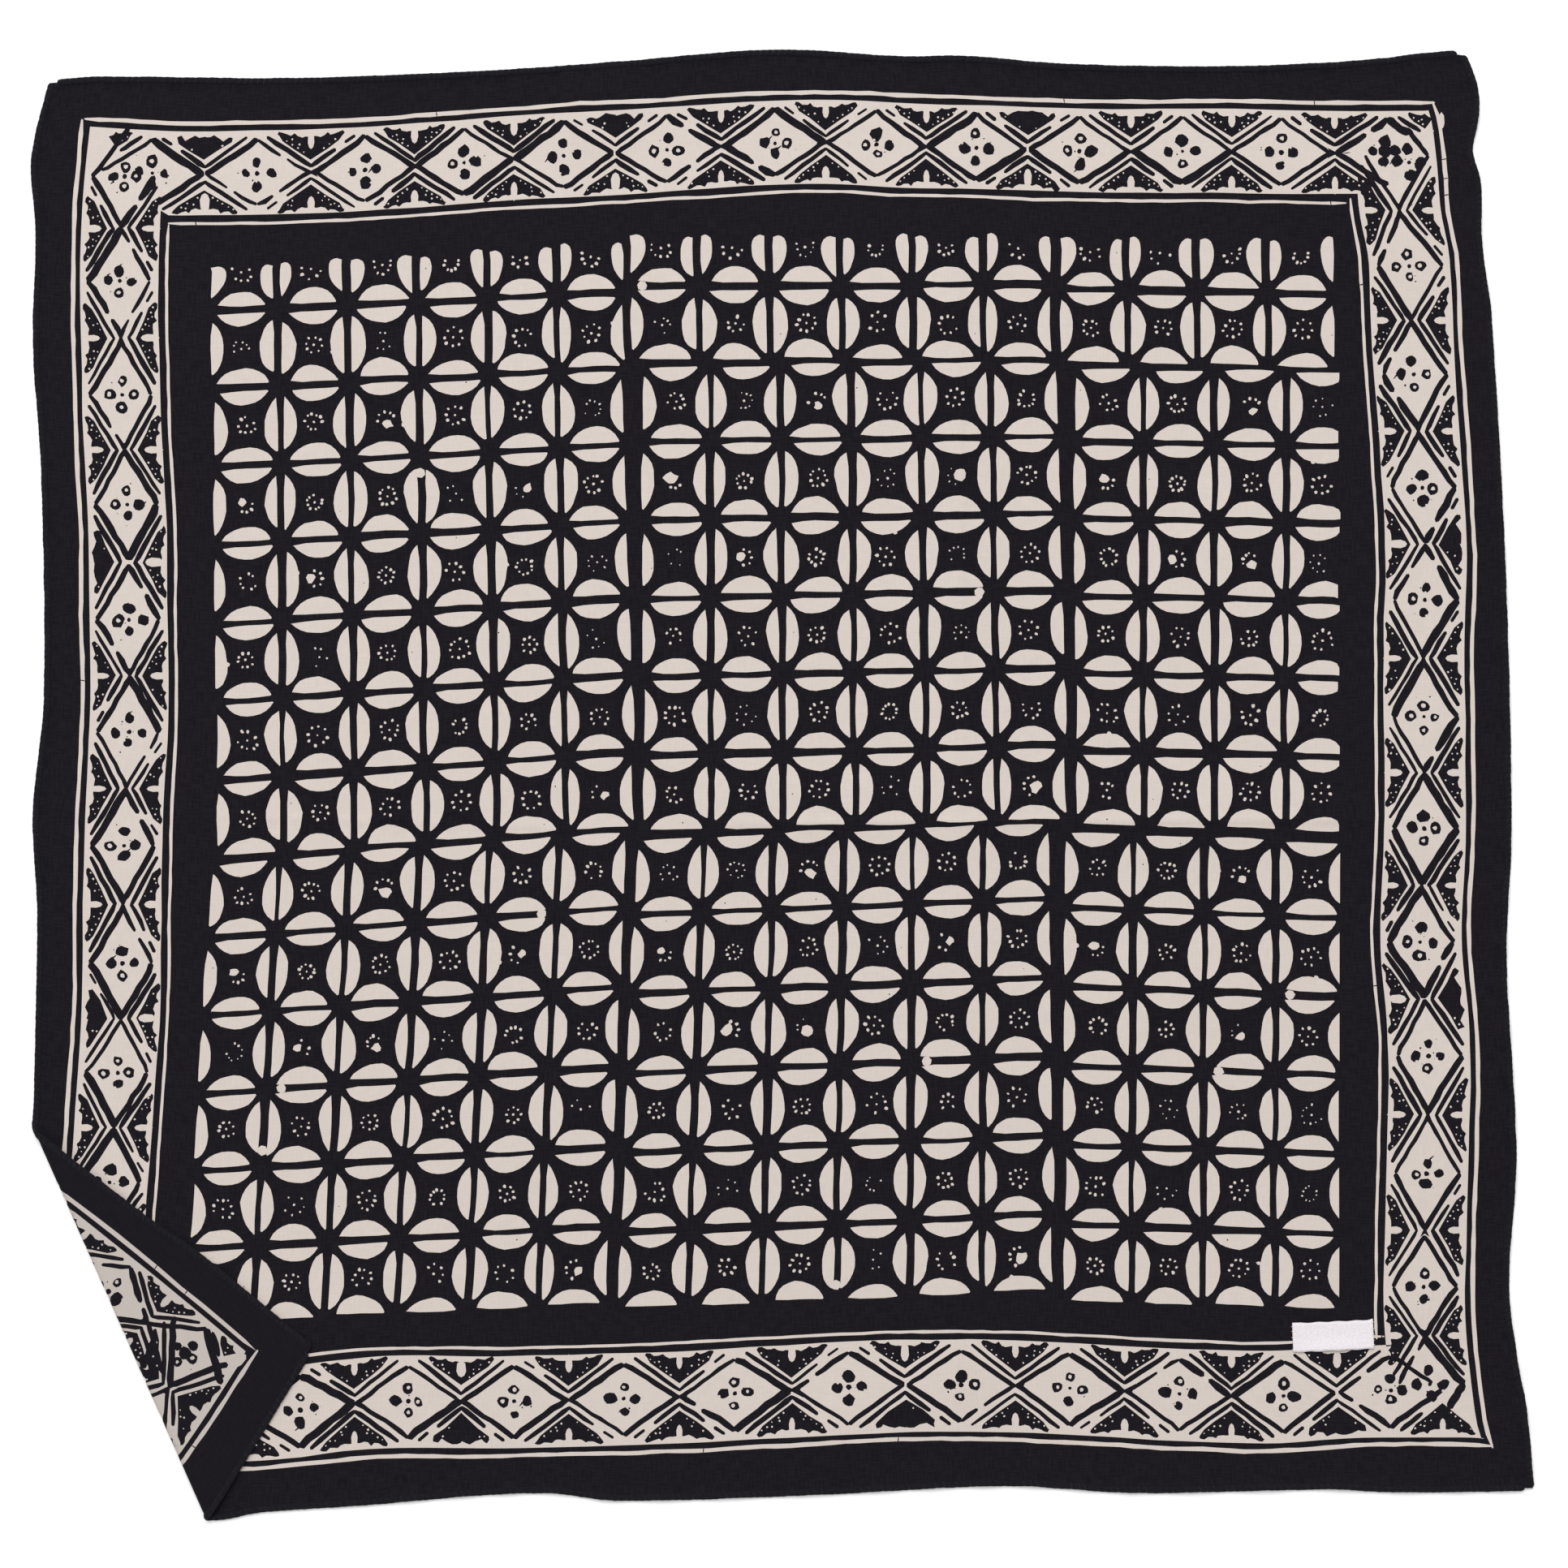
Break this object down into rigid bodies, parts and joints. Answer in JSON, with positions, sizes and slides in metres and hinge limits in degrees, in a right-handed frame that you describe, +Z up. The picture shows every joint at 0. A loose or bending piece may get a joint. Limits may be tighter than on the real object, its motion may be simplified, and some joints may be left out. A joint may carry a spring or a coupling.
{
  "type": "bandana",
  "caption": "Square cotton bandana lying flat face up, with a rolled hem, a small sewn label and its lower left corner turned over.",
  "frame": {"origin": "middle of the laid bandana's outline, on the surface that it lies on", "axes": "+Z up from the surface, +Y towards the top edge and +X towards the right edge as the printed face is seen"},
  "size_m": [0.5554, 0.5434, 0.0046],
  "materials": {
    "printed_cotton": "black cotton plain weave with an off-white resist print, matt, the print paler and duller on the back",
    "hem_cotton": "the same black cotton rolled narrow and overcast with black thread",
    "label_tape": "white woven label tape, bare, with a slight satin sheen"
  },
  "bodies": {
    "root": {"cloth_panel": "printed_cotton", "folded_corner": "printed_cotton", "hem_top": "hem_cotton", "hem_right": "hem_cotton", "hem_bottom": "hem_cotton", "hem_left": "hem_cotton", "hem_left_turned": "hem_cotton", "hem_bottom_turned": "hem_cotton", "label": "label_tape"}
  },
  "joints": []
}
